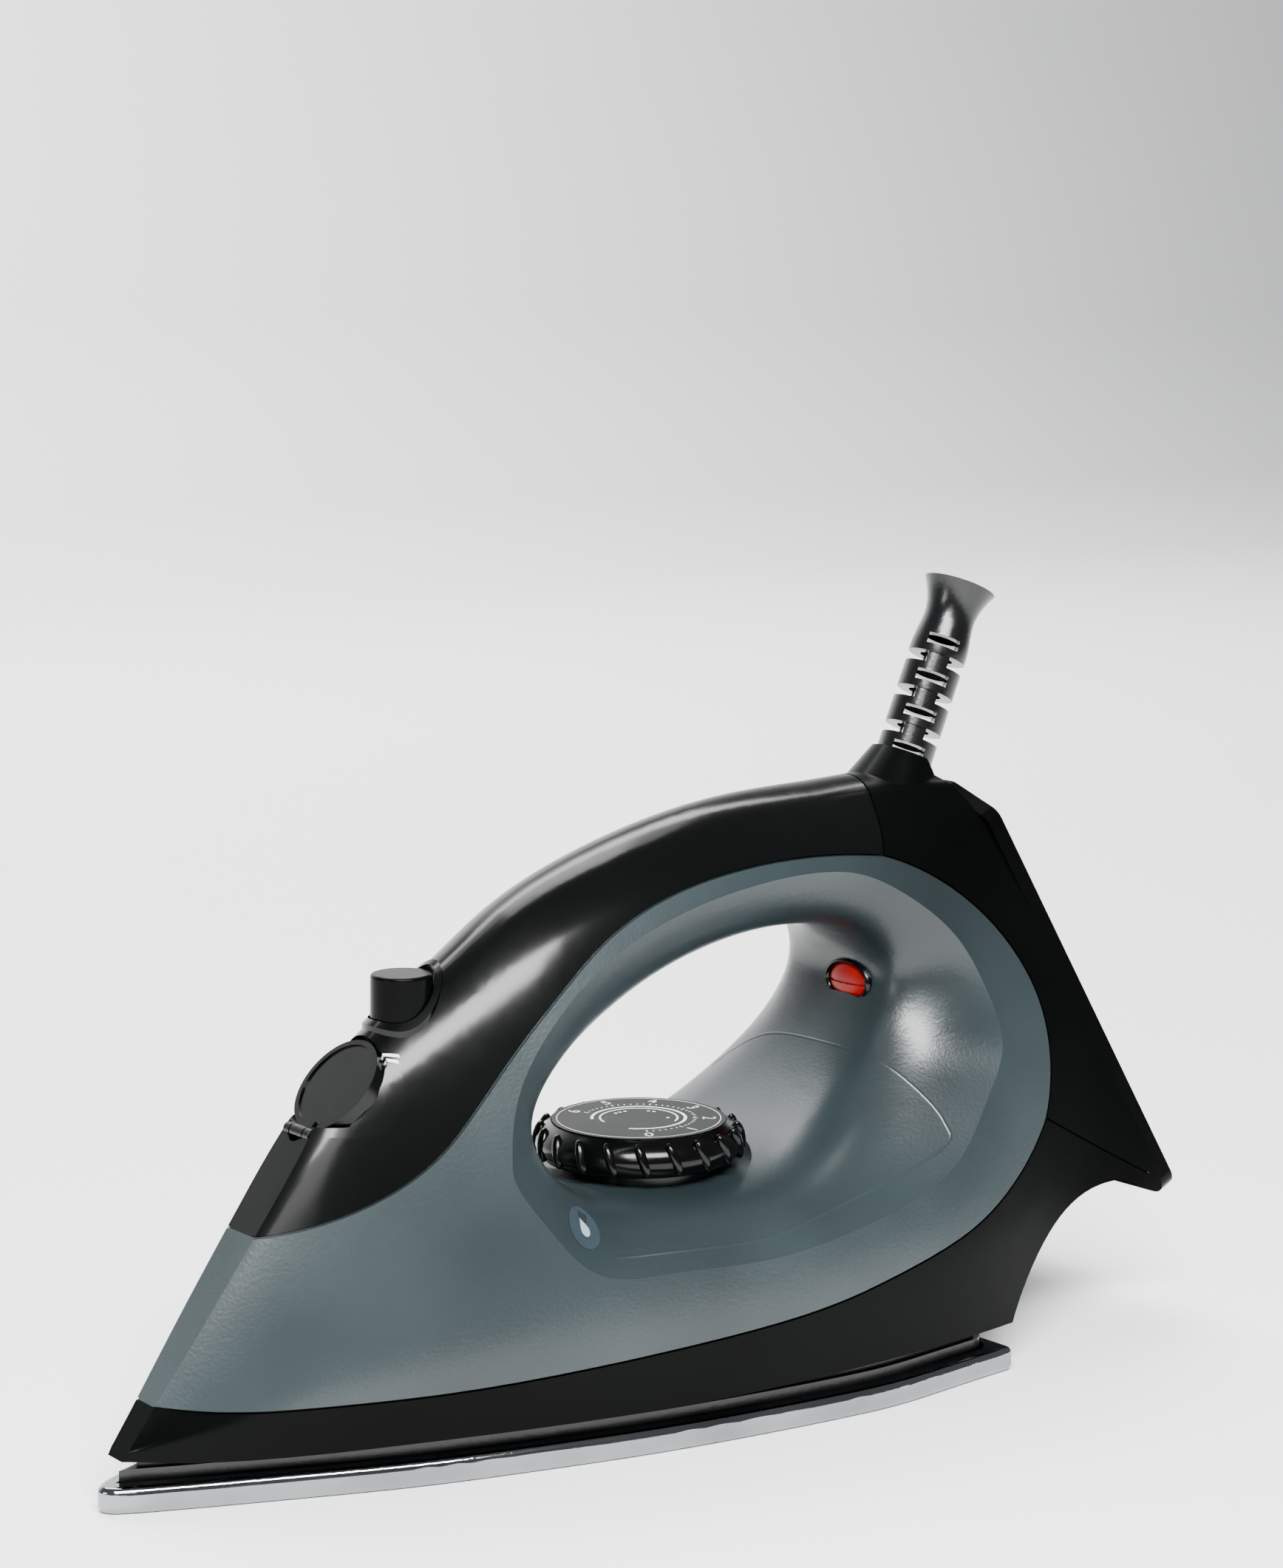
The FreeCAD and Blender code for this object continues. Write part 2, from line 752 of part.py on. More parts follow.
def sole_casting(heater):
    block = sole_prism(casting_inset, skin_thickness, casting_top)
    posts = [cylinder(post_radius, shield_top - shield_wall - casting_top, Vector(x, y, casting_top))
             for x, y in post_spots()]
    block = block.fuse(posts).cut(heater)
    end = heater_end_x * length_scale
    starts = [Vector(end, side * heater_half_gap, casting_top - heater_sink) for side in (-1, 1)]
    pins = [cylinder(pin_radius + 1.5, pin_length + 40, start, Vector(1, 0, 0)) for start in starts]
    holes = [cylinder(screw_radius, 8, Vector(x, y, shield_top - shield_wall - 6)) for x, y in post_spots()]
    block = block.cut(pins + holes)
    block = block.cut(chamber_zone(chamber_inset, casting_top - chamber_depth, casting_top + 1))
    return block.cut(steam_ports(0, casting_top))


def chamber_gasket():
    low, high = casting_top, casting_top + gasket_thickness
    plate = chamber_zone(chamber_inset - cover_overlap, low, high)
    return plate.cut(chamber_zone(chamber_inset, low - 1, high + 1))


def valve_base():
    return casting_top + gasket_thickness + cover_thickness


def chamber_cover():
    low = casting_top + gasket_thickness
    plate = chamber_zone(chamber_inset - cover_overlap, low, low + cover_thickness)
    return plate.cut(cylinder(rod_radius + rod_clearance, 9, Vector(button_axis_x(), 0, low - 4)))


def service_holes(low, high, head_room):
    """Openings shared by the shield and the chassis for the valve, thermostat, pins and screws."""
    tall = high - low
    holes = [cylinder(rod_radius + rod_clearance + valve_wall + valve_seat_width + 0.5, tall,
                      Vector(button_axis_x(), 0, low))]
    holes.append(cylinder(thermostat_radius + 1.5, tall, Vector(dial_axis_x(), 0, low)))
    end = heater_end_x * length_scale
    holes += [cylinder(5, tall, Vector(end + 6, s * heater_half_gap, low)) for s in (-1, 1)]
    holes += [cylinder(head_room, tall, Vector(x, y, low)) for x, y in post_spots()]
    return holes


def heat_shield():
    shape = sole_prism(shield_inset, casting_top, shield_top)
    shape = shape.cut(sole_prism(shield_inset + shield_wall, casting_top - 1, shield_top - shield_wall))
    shape = shape.common(nose_block(wall + seam_width))
    return shape.cut(service_holes(casting_top - 2, shield_top + 2, screw_radius))


def chassis(inner):
    low, high = shield_top, shield_top + chassis_thickness
    plate = inner.common(box(-20, 330 * length_scale, -reach, reach, low, high))
    return plate.cut(service_holes(low - 1, high + 1, screw_head + head_clearance))


def screw(spot, axis, length):
    """Round-headed slotted screw with the underside of its head at the spot."""
    shank = cylinder(screw_radius, length, spot, axis * -1)
    shape = cylinder(screw_head, screw_head_height, spot, axis).fuse(shank)
    across = Vector(0, 1, 0)
    slot = Part.makeBox(4 * screw_head, screw_slot, 2, Vector(-2 * screw_head, -screw_slot / 2, 0))
    slot.Placement = FreeCAD.Placement(spot + axis * (screw_head_height * 0.5),
                                       FreeCAD.Rotation(Vector(), across, axis, "ZYX"))
    return shape.cut(slot)


def shield_screws():
    up = Vector(0, 0, 1)
    return Part.makeCompound([screw(Vector(x, y, shield_top), up, 5.5) for x, y in post_spots()])


def tank_floor(inner):
    floor = ribbon(skirt_seam, floor_drop, floor_drop + floor_thickness).common(inner)
    valve = cylinder(valve_outer(), 200, Vector(button_axis_x(), 0, 0))
    return floor.cut([valve, shaft_tunnel(shaft_radius + shaft_clearance + tunnel_wall, 0, deck_z)])


def tank_back(inner):
    return ribbon(rear_seam, floor_drop, floor_drop + floor_thickness).common(inner)


def tank_roof(inner, plug_grown):
    roof = ribbon(handle_seam, floor_drop, floor_drop + floor_thickness).common(inner).cut(plug_grown)
    button_well = cylinder(button_radius + 2 * button_clearance, 200, Vector(button_axis_x(), 0, 0))
    return roof.cut([button_well, throat_tool(throat_radius + throat_wall)])


def valve_outer():
    return rod_radius + rod_clearance + valve_wall


def button_bottom():
    return place(0, button_top)[1] - button_length * height_scale


def bellows_foot():
    return button_bottom() - bellows_height * height_scale


def valve_tube():
    low, high = valve_base(), bellows_foot()
    base = Vector(button_axis_x(), 0, low)
    bore = cylinder(rod_radius + rod_clearance, high - low, base)
    return cylinder(valve_outer(), high - low, base).cut(bore)


def valve_seat():
    base = Vector(button_axis_x(), 0, valve_base())
    return cylinder(valve_outer() + valve_seat_width, valve_seat_height, base).cut(
        cylinder(valve_outer(), valve_seat_height, base))


def valve_rod():
    low = valve_base() + valve_rest_gap
    return cylinder(rod_radius, button_bottom() - low, Vector(button_axis_x(), 0, low))


def steam_button():
    low, length = button_bottom(), button_length * height_scale
    shape = Part.makeCone(button_radius, button_radius - 0.25, length, Vector(button_axis_x(), 0, low))
    return shape.makeFillet(button_round, level_edges(shape, low + length))


def button_collar():
    x, low = button_axis_x(), button_bottom() - 2
    bore = button_radius + button_clearance
    ring = cylinder(bore + collar_wall, 60, Vector(x, 0, low)).cut(cylinder(bore, 60, Vector(x, 0, low)))
    return ring.common(body_block(-collar_rise)).cut(cap_step())


def valve_bellows():
    """Folded silicone sleeve that seals the valve and lifts the button back up."""
    low, step = bellows_foot(), bellows_height * height_scale / (2 * bellows_folds)
    radii = [bellows_radius - bellows_fold * (i % 2) for i in range(2 * bellows_folds + 1)]
    outer = [Vector(r, 0, low + step * i) for i, r in enumerate(radii)]
    inner = [Vector(v.x - bellows_wall, 0, v.z) for v in reversed(outer)]
    face = Part.Face(Part.makePolygon(outer + inner + [outer[0]]))
    shape = face.revolve(Vector(0, 0, 0), Vector(0, 0, 1), 360)
    shape.translate(Vector(button_axis_x(), 0, 0))
    return shape


def filler_cap():
    centre, up, out = cap_frame()
    disc = cylinder(cap_radius, cap_thickness, centre - out * cap_thickness, out)
    disc = disc.cut(cylinder(cap_radius - cap_rim, 2, centre - out * cap_dish, out))
    pin = hinge_point()
    disc = disc.fuse(cross_rod(hinge_knuckle, knuckle_length, pin))
    tab = Part.makeBox(hinge_reach + 2.0, knuckle_length, 2.0, Vector(0, -knuckle_length / 2, 0))
    tab.Placement = FreeCAD.Placement(pin - out * 1.9, FreeCAD.Rotation(up, Vector(0, 1, 0), out))
    disc = disc.fuse(tab)
    return disc.cut(cross_rod(hinge_pin_radius + hinge_fit, knuckle_length + 1, pin))


def cap_plug():
    centre, up, out = cap_frame()
    seat = centre - out * cap_thickness
    return cylinder(throat_radius - plug_clearance, plug_length, seat - out * plug_length, out)


def hinge_pin():
    return cross_rod(hinge_pin_radius, knuckle_length + 2 * (hinge_clearance + ear_length), hinge_point())


def filler_funnel():
    shape = throat_tool(throat_radius + throat_wall)
    centre, up, out = cap_frame()
    return shape.cut(throat_tool(throat_radius, 1.0))


def ellipse_rod(half_width, half_height, low, high, y, z):
    """Oval bar along X."""
    long, short = max(half_width, half_height), min(half_width, half_height)
    curve = Part.Ellipse(Vector(0, 0, 0), long, short)
    shape = Part.Face(Part.Wire(curve.toShape()))
    flat = FreeCAD.Rotation(Vector(0, 1, 0), Vector(0, 0, 1), Vector(1, 0, 0), "XYZ")
    shape.Placement = FreeCAD.Placement(Vector(low, y, z), flat)
    return shape.extrude(Vector(high - low, 0, 0))


def lamp_tool(grow, depth):
    z = place(0, lamp_z)[1]
    half_width = lamp_half_width + grow
    half_height = lamp_half_height + grow
    return ellipse_rod(half_width, half_height, lamp_x - lamp_proud, lamp_x + depth, lamp_y, z)


def lamp_bezel_ring():
    return lamp_tool(lamp_bezel, lamp_depth).cut(lamp_tool(0.0, lamp_depth + 1))


def neon_lamp():
    z = place(0, lamp_z)[1]
    return cylinder(neon_radius, neon_length, Vector(lamp_x + lamp_depth, lamp_y, z), Vector(1, 0, 0))


def heel_point(across, height, depth):
    foot, up, out = heel_frame()
    return foot + up * (height * height_scale) - out * depth + Vector(0, across, 0)


def heel_plate():
    foot, up, out = heel_frame()
    half = [(heel_foot_half, 0), (heel_top_half, heel_plate_height), (heel_crown_half, heel_crown_height)]
    outline = half + [(-u, v) for u, v in reversed(half)]
    corners = [heel_point(u * width_scale, v, 0) for u, v in outline]
    plate = Part.Face(Part.makePolygon(corners + [corners[0]])).extrude(out * -heel_plate_thickness)
    sharp = [e for e in plate.Edges if abs(e.Length - heel_plate_thickness) < 1e-4]
    plate = plate.makeFillet(heel_corner_radius, sharp).cut(guard_passage())
    for u, v in heel_spots():
        plate = plate.cut(cylinder(screw_head + head_clearance, 4, heel_point(u, v, 2.0), out))
        plate = plate.cut(cylinder(screw_radius, 20, heel_point(u, v, 12.0), out))
    return plate


def heel_spots():
    spots = [(u * width_scale, v) for u, v in (heel_low_spot, heel_high_spot)]
    return spots + [(-u, v) for u, v in spots]


def heel_bosses():
    foot, up, out = heel_frame()
    tubes = []
    for u, v in heel_spots():
        base = heel_point(u, v, heel_plate_thickness + boss_length)
        tubes.append(cylinder(boss_radius, boss_length, base, out).cut(cylinder(screw_radius, 30, base, out)))
    return Part.makeCompound(tubes)


def heel_screws():
    foot, up, out = heel_frame()
    return Part.makeCompound([screw(heel_point(u, v, 2.0), out, screw_length + 2) for u, v in heel_spots()])


def heel_block_part(half, low, high, start, depth):
    """Block standing on the inside of the heel plate."""
    foot, up, out = heel_frame()
    corner = heel_point(-half, low, start + depth)
    shape = Part.makeBox(depth, 2 * half, (high - low) * height_scale)
    shape.Placement = FreeCAD.Placement(corner, FreeCAD.Rotation(out, Vector(0, 1, 0), up))
    return shape


def terminal_block():
    foot, up, out = heel_frame()
    block = heel_block_part(block_half, block_low, block_high, heel_plate_thickness, block_depth)
    middle = (block_low + block_high) / 2
    for u in (-8, 0, 8):
        hole = heel_point(u, middle, heel_plate_thickness + block_depth + 1)
        block = block.cut(cylinder(screw_radius, 12, hole, out))
    return block


def terminal_screws():
    foot, up, out = heel_frame()
    middle = (block_low + block_high) / 2
    depth = heel_plate_thickness + block_depth
    return Part.makeCompound([screw(heel_point(u, middle, depth), out * -1, 5) for u in (-8, 0, 8)])


def cord_clamp():
    block = heel_block_part(clamp_half, clamp_low, clamp_high, heel_plate_thickness, clamp_depth)
    return block.cut(clamp_holes())


def clamp_holes():
    foot, up, out = heel_frame()
    middle = (clamp_low + clamp_high) / 2
    depth = heel_plate_thickness + clamp_depth + clamp_bar + 1
    return [cylinder(screw_radius, 9, heel_point(u, middle, depth), out) for u in (-6, 6)]


def clamp_bar_part():
    depth = heel_plate_thickness + clamp_depth
    return heel_block_part(clamp_half, clamp_low, clamp_high, depth, clamp_bar).cut(clamp_holes())


def clamp_screws():
    foot, up, out = heel_frame()
    middle = (clamp_low + clamp_high) / 2
    depth = heel_plate_thickness + clamp_depth + clamp_bar
    return Part.makeCompound([screw(heel_point(u, middle, depth), out * -1, 6) for u in (-6, 6)])


def thermal_fuse():
    x = dial_axis_x() + thermostat_radius + 6
    end = Vector(x, -fuse_length / 2, casting_top + fuse_radius)
    return cylinder(fuse_radius, fuse_length, end, Vector(0, 1, 0))


def guard_section(low, high, radius):
    foot, along = guard_frame()
    return cylinder(radius, high - low, foot + along * low, along)


def guard_slab(wide, deep, low, high, across=0.0):
    """Upright box in the guard's own frame, centred on its axis or shifted across."""
    foot, along = guard_frame()
    tool = Part.makeBox(wide, deep, high - low, Vector(across - wide / 2, -deep / 2, low))
    tool.rotate(Vector(0, 0, 0), Vector(0, 0, 1), guard_turn)
    lean = FreeCAD.Placement(foot, FreeCAD.Rotation(Vector(0, 0, 1), along))
    tool.Placement = lean.multiply(tool.Placement)
    return tool


def guard_trumpet():
    foot, along = guard_frame()
    rim = Vector(flare_radius, 0, guard_length)
    points = [Vector(guard_ring, 0, flare_start), Vector(guard_ring - 0.2, 0, flare_start + 5)]
    points += [Vector(flare_waist, 0, guard_length - 7), Vector(flare_waist + 0.9, 0, guard_length - 3.5)]
    side = Part.BSplineCurve()
    side.interpolate(points + [rim])
    inner = Part.makePolygon([rim, Vector(0, 0, guard_length), Vector(0, 0, flare_start), points[0]])
    face = Part.Face(Part.Wire([side.toShape()] + inner.Edges))
    shape = face.revolve(Vector(0, 0, 0), Vector(0, 0, 1), 360)
    shape.Placement = FreeCAD.Placement(foot, FreeCAD.Rotation(Vector(0, 0, 1), along))
    return shape


def cord_guard():
    """Flexible sleeve of rings joined by two bridges, each ring with a window front and back."""
    sections = [guard_section(-guard_root, -guard_root + guard_flange_height, guard_flange)]
    sections.append(guard_section(-guard_root, 0.1, guard_neck))
    half = guard_ring_height / 2
    reach_out = 4 * guard_ring
    middles = [guard_first_window + guard_pitch * i for i in range(guard_rings + 2)]
    sections.append(guard_section(0, middles[0] + half, guard_ring))
    sections += [guard_section(m - half, m + half, guard_ring) for m in middles[1:-1]]
    sections.append(guard_trumpet())
    bridge_slab = guard_slab(guard_bridge, reach_out, 1, flare_start + 1)
    bridges = guard_section(1, flare_start + 1, guard_ring - 0.5).common(bridge_slab)
    shape = sections[0].fuse(sections[1:] + [bridges])
    tools = [guard_section(-guard_root - 1, guard_length + 1, guard_bore)]
    for m in middles:
        low = m - guard_window_height / 2
        tools.append(guard_slab(guard_window, reach_out, low, low + guard_window_height))
    return shape.cut(tools)


# Reference surfaces shared by several pieces
skirt_seam_height = 21.6
plug_plain = opening_block(0.0)
deck_z = surface_point(plug_plain, opening_centre(), Vector(0, 0, -1)).z
lamp_x = surface_point(plug_plain, Vector(opening_centre().x, lamp_y, place(0, lamp_z)[1]), Vector(1, 0, 0)).x
plug_cut = plug_plain.fuse(dial_well(0.0))
plug_inner = opening_block(wall).fuse(dial_well(wall))
outer_shape = outer_body()
inner_shape = inner_body()

for part_name, part_shape in mouldings(outer_shape, inner_shape, plug_cut, plug_inner).items():
    save(part_name, part_shape)
heater_shape = heater_tube()
save("sole_skin", sole_skin())
save("sole_casting", sole_casting(heater_shape))
save("heating_element", heater_shape)
save("heater_pins", heater_pins())
save("chamber_gasket", chamber_gasket())
save("chamber_cover", chamber_cover())
save("heat_shield", heat_shield())
save("shield_screws", shield_screws())
save("chassis_plate", chassis(inner_shape))
save("tank_floor", tank_floor(inner_shape))
save("tank_back", tank_back(inner_shape))
save("tank_roof", tank_roof(inner_shape, plug_inner))
save("thermostat_body", thermostat(casting_top))
save("thermal_fuse", thermal_fuse())
dial_shape, dial_low = dial()
save("dial", dial_shape)
save("dial_face", dial_face(dial_low))
save("dial_ring", dial_ring())
save("thermostat_shaft", thermostat_shaft(dial_low + dial_height - dial_wall - 0.1))
save("steam_button", steam_button())
save("button_collar", button_collar())
save("valve_rod", valve_rod())
save("valve_tube", valve_tube())
save("valve_seat", valve_seat())
save("valve_bellows", valve_bellows())
save("filler_cap", filler_cap())
save("cap_plug", cap_plug())
save("cap_hinge_pin", hinge_pin())
save("filler_funnel", filler_funnel())
save("lamp_lens", lamp_tool(0.0, lamp_depth))
save("lamp_bezel", lamp_bezel_ring())
save("neon_lamp", neon_lamp())
save("heel_plate", heel_plate())
save("heel_bosses", heel_bosses())
save("heel_screws", heel_screws())
save("terminal_block", terminal_block())
save("terminal_screws", terminal_screws())
save("cord_clamp", cord_clamp())
save("clamp_bar", clamp_bar_part())
save("clamp_screws", clamp_screws())
save("cord_guard", cord_guard())

# Centre the finished model over the origin and write each piece
middle_x = bodies["heel_plate"].optimalBoundingBox().XMax / 2
os.makedirs("parts", exist_ok=True)
for part_name, part_shape in bodies.items():
    part_shape.translate(Vector(-middle_x, 0, 0))
    part_shape.exportStep("parts/" + part_name + ".step")
    print(part_name, part_shape.isValid(), len(part_shape.Solids), round(part_shape.Volume, 1))
print("middle_x", round(middle_x, 3), "deck_z", round(deck_z, 3), "lamp_x", round(lamp_x, 3))
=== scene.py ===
import bpy
import bmesh
import math
from mathutils import Matrix, Vector
from mathutils.bvhtree import BVHTree


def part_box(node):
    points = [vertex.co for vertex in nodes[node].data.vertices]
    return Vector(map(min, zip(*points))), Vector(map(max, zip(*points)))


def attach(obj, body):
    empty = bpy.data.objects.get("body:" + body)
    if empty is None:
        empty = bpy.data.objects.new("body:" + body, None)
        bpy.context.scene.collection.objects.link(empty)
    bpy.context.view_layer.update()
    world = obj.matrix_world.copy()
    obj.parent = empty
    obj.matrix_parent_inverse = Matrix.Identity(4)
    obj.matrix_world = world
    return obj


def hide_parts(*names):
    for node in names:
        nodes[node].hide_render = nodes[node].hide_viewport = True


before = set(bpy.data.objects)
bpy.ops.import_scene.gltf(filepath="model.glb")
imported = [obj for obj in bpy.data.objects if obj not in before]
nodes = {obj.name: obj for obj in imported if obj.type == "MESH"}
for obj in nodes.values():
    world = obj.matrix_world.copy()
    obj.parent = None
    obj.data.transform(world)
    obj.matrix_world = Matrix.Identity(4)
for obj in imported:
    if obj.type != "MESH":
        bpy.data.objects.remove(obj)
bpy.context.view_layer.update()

cameraSettings = {
    "place": (-0.4256, -0.5420, 0.2298),  # metres, off the nose on the near side
    "direction": (0.6147, 0.7775, -0.1331),
    "lens": 71.66,
    "sensor": 36,
}


def makeCamera():
    data = bpy.data.cameras.new("studioCamera")
    data.lens = cameraSettings["lens"]
    data.sensor_width = cameraSettings["sensor"]
    camera = bpy.data.objects.new("studioCamera", data)
    camera.location = cameraSettings["place"]
    camera.rotation_euler = Vector(cameraSettings["direction"]).to_track_quat("-Z", "Y").to_euler()
    bpy.context.collection.objects.link(camera)
    bpy.context.scene.camera = camera


makeCamera()
print("camera placed")


def linear(hexColour):  # sRGB hex to the linear colour that a socket takes
    parts = [int(hexColour[i:i + 2], 16) / 255 for i in (1, 3, 5)]
    return [p / 12.92 if p <= 0.04045 else ((p + 0.055) / 1.055) ** 2.4 for p in parts] + [1.0]


def addNode(tree, kind, settings=None, **links):
    node = tree.nodes.new(kind)
    for name, value in (settings or {}).items():
        if name in node.inputs.keys():
            node.inputs[name].default_value = value
        else:
            setattr(node, name, value)
    for name, source in links.items():
        socket = int(name[2:]) if name[2:].isdigit() else name  # in0, in6 are sockets by number
        tree.links.new(source, node.inputs[socket])
    return node


def newMaterial(name, shaderValues):
    material = bpy.data.materials.new(name)
    material.use_nodes = True
    tree = material.node_tree
    shader = tree.nodes["Principled BSDF"]
    for socket, value in shaderValues.items():
        shader.inputs[socket].default_value = value
    coords = addNode(tree, "ShaderNodeTexCoord").outputs["Object"]
    return material, tree, shader, coords


def variedColour(tree, coords, shader, dark, light, size):  # size is that of the clouds, in metres
    noise = addNode(tree, "ShaderNodeTexNoise", {"Scale": 1 / size, "Detail": 3.0}, Vector=coords)
    ramp = addNode(tree, "ShaderNodeValToRGB", Fac=noise.outputs["Fac"])
    ramp.color_ramp.elements[0].position = 0.3
    ramp.color_ramp.elements[0].color = linear(dark)
    ramp.color_ramp.elements[1].position = 0.7
    ramp.color_ramp.elements[1].color = linear(light)
    tree.links.new(ramp.outputs["Color"], shader.inputs["Base Color"])


def variedRoughness(tree, coords, shader, low, high, size):
    noise = addNode(tree, "ShaderNodeTexNoise", {"Scale": 1 / size, "Detail": 4.0}, Vector=coords)
    ends = {"To Min": low, "To Max": high}
    spread = addNode(tree, "ShaderNodeMapRange", ends, Value=noise.outputs["Fac"])
    tree.links.new(spread.outputs["Result"], shader.inputs["Roughness"])


def bumped(tree, shader, height, distance):
    bump = addNode(tree, "ShaderNodeBump", {"Strength": 1.0, "Distance": distance}, Height=height)
    tree.links.new(bump.outputs["Normal"], shader.inputs["Normal"])


absSettings = {
    "ior": 1.45,
    "cloudSize": 0.06,
    "wearSize": 0.02,
    "swellSize": 0.012,  # the slow swell of a moulded shell, which bends the lights' edges a little
    "swellDepth": 0.00006,
}


def glossyAbs(name, dark, light, low, high, mirror):  # low and high are roughness
    start = {"IOR": absSettings["ior"], "Specular IOR Level": mirror}
    material, tree, shader, coords = newMaterial(name, start)
    variedColour(tree, coords, shader, dark, light, absSettings["cloudSize"])
    variedRoughness(tree, coords, shader, low, high, absSettings["wearSize"])
    swell = {"Scale": 1 / absSettings["swellSize"], "Detail": 1.0}
    peel = addNode(tree, "ShaderNodeTexNoise", swell, Vector=coords)
    bumped(tree, shader, peel.outputs["Fac"], absSettings["swellDepth"])
    return material


tankSettings = {
    "dark": "#1f282b",
    "light": "#2b3639",
    # near-black colour of the painted shade round the column's head
    "paintedShade": "#0a0d0e",
    "paintedShadeCentre": (0.074, 0.0, 0.104),  # painted shade: the tank's colour darkens towards this point at the column's head
    "paintedShadeInner": 0.012,
    "paintedShadeOuter": 0.058,
    "paintedShadeShare": 0.62,
    "cloudSize": 0.05,
    "wearSize": 0.03,
    "frostSize": 0.0008,  # real frosting is near 0.1 mm, drawn coarser so that it shows
    "frostDepth": 0.00004,
}


def smokedPlastic():
    material, tree, shader, coords = newMaterial("smokedFrostedPolypropyleneMoulded", {
        "IOR": 1.49, "Transmission Weight": 0.2, "Subsurface Weight": 0.1, "Subsurface Scale": 0.004,
    })
    cloud = {"Scale": 1 / tankSettings["cloudSize"], "Detail": 2.0}
    noise = addNode(tree, "ShaderNodeTexNoise", cloud, Vector=coords)
    cloudy = addNode(tree, "ShaderNodeValToRGB", Fac=noise.outputs["Fac"])
    cloudy.color_ramp.elements[0].position = 0.32
    cloudy.color_ramp.elements[0].color = linear(tankSettings["dark"])
    cloudy.color_ramp.elements[1].position = 0.68
    cloudy.color_ramp.elements[1].color = linear(tankSettings["light"])
    # painted shade: near the column's head the tank's colour is mixed towards a near-black, fading out with
    # distance
    shade = addNode(tree, "ShaderNodeVectorMath", {"operation": "DISTANCE"}, in0=coords)
    shade.inputs[1].default_value = tankSettings["paintedShadeCentre"]
    fade = {"interpolation_type": "SMOOTHSTEP", "From Min": tankSettings["paintedShadeInner"],
            "From Max": tankSettings["paintedShadeOuter"], "To Min": tankSettings["paintedShadeShare"], "To Max": 0.0}
    reach = addNode(tree, "ShaderNodeMapRange", fade, Value=shade.outputs["Value"])
    mixed = addNode(tree, "ShaderNodeMix", {"data_type": "RGBA"}, in0=reach.outputs["Result"],
                    in6=cloudy.outputs["Color"])
    mixed.inputs[7].default_value = linear(tankSettings["paintedShade"])
    tree.links.new(mixed.outputs[2], shader.inputs["Base Color"])
    variedRoughness(tree, coords, shader, 0.24, 0.36, tankSettings["wearSize"])
    frost = addNode(tree, "ShaderNodeTexNoise", {"Scale": 1 / tankSettings["frostSize"], "Detail": 2.0},
                    Vector=coords)
    bumped(tree, shader, frost.outputs["Fac"], tankSettings["frostDepth"])
    return material


# sizes in metres; the grain given to each material is drawn coarser than the real one, so that it shows
metalSettings = {"cloudSize": 0.03, "wearSize": 0.01}
plasticSettings = {"cloudSize": 0.02, "wearSize": 0.008}


def metal(name, dark, light, low, high, grain, depth):
    material, tree, shader, coords = newMaterial(name, {"Metallic": 1.0})
    variedColour(tree, coords, shader, dark, light, metalSettings["cloudSize"])
    variedRoughness(tree, coords, shader, low, high, metalSettings["wearSize"])
    grit = addNode(tree, "ShaderNodeTexNoise", {"Scale": 1 / grain, "Detail": 3.0}, Vector=coords)
    bumped(tree, shader, grit.outputs["Fac"], depth)
    return material


def softPlastic(name, dark, light, low, high, grain, depth, ior=1.5):
    material, tree, shader, coords = newMaterial(name, {"IOR": ior})
    variedColour(tree, coords, shader, dark, light, plasticSettings["cloudSize"])
    variedRoughness(tree, coords, shader, low, high, plasticSettings["wearSize"])
    grit = addNode(tree, "ShaderNodeTexNoise", {"Scale": 1 / grain, "Detail": 2.0}, Vector=coords)
    bumped(tree, shader, grit.outputs["Fac"], depth)
    return material


# moulded ABS polished in the tool: near black, with crisp highlights along the handle
blackAbs = glossyAbs("glossyBlackAbsMoulded", "#020202", "#050606", 0.13, 0.19, 0.3)
# the same plastic from a finer blasted tool: black, with only a soft sheen
satinAbs = glossyAbs("satinBlackAbsMoulded", "#020202", "#050606", 0.2, 0.28, 0.06)
# soft PVC with a slight bloom: small bright spots on its ribs
guardRubber = softPlastic("blackFlexiblePvcMoulded", "#040405", "#090a0b", 0.18, 0.26, 0.0009, 0.00004)
# smoky water tank: dim depth, and broad pale highlights from the frosting
tankPlastic = smokedPlastic()
# pressed and buffed steel: mirror-like lines round the sole's rim
polishedSteel = metal("polishedStainlessSteelPressed", "#7c8083", "#9a9da0", 0.06, 0.11, 0.004, 0.00001)
# grey casting with a dull, slightly grainy skin
castAluminium = metal("dieCastAluminium", "#8c8f92", "#a5a8ab", 0.38, 0.5, 0.0012, 0.00005)
# bright zinc plating, a little clouded, on screws and pins
zincSteel = metal("zincPlatedSteel", "#9ea2a5", "#b8bcc0", 0.24, 0.34, 0.002, 0.00002)
# sprayed heatproof paint: a dark band with a low shine between sole and skirt
paintedCasting = softPlastic("blackHeatproofPaintSprayedOnAluminium", "#060606", "#0c0c0d", 0.2, 0.3,
                             0.0012, 0.00003)
# fired enamel on sheet: dark, smooth and a little duller than the paint
heatShieldSteel = softPlastic("blackEnamelledSteelSheet", "#070707", "#0d0d0e", 0.3, 0.4, 0.001, 0.00004)
# pressed phenolic resin: dark brown with a faint mottle
phenolic = softPlastic("brownPhenolicMoulded", "#2b1a10", "#3a2416", 0.3, 0.42, 0.0008, 0.00003)
# moulded acetal: plain off-white and waxy
acetal = softPlastic("whiteAcetalMoulded", "#cfcfc8", "#dedfd9", 0.35, 0.45, 0.001, 0.00002)
# moulded silicone: dull brick red that takes no clear highlight
silicone = softPlastic("redSiliconeRubberMoulded", "#7c2a20", "#8d3528", 0.45, 0.6, 0.0006, 0.00003, 1.41)
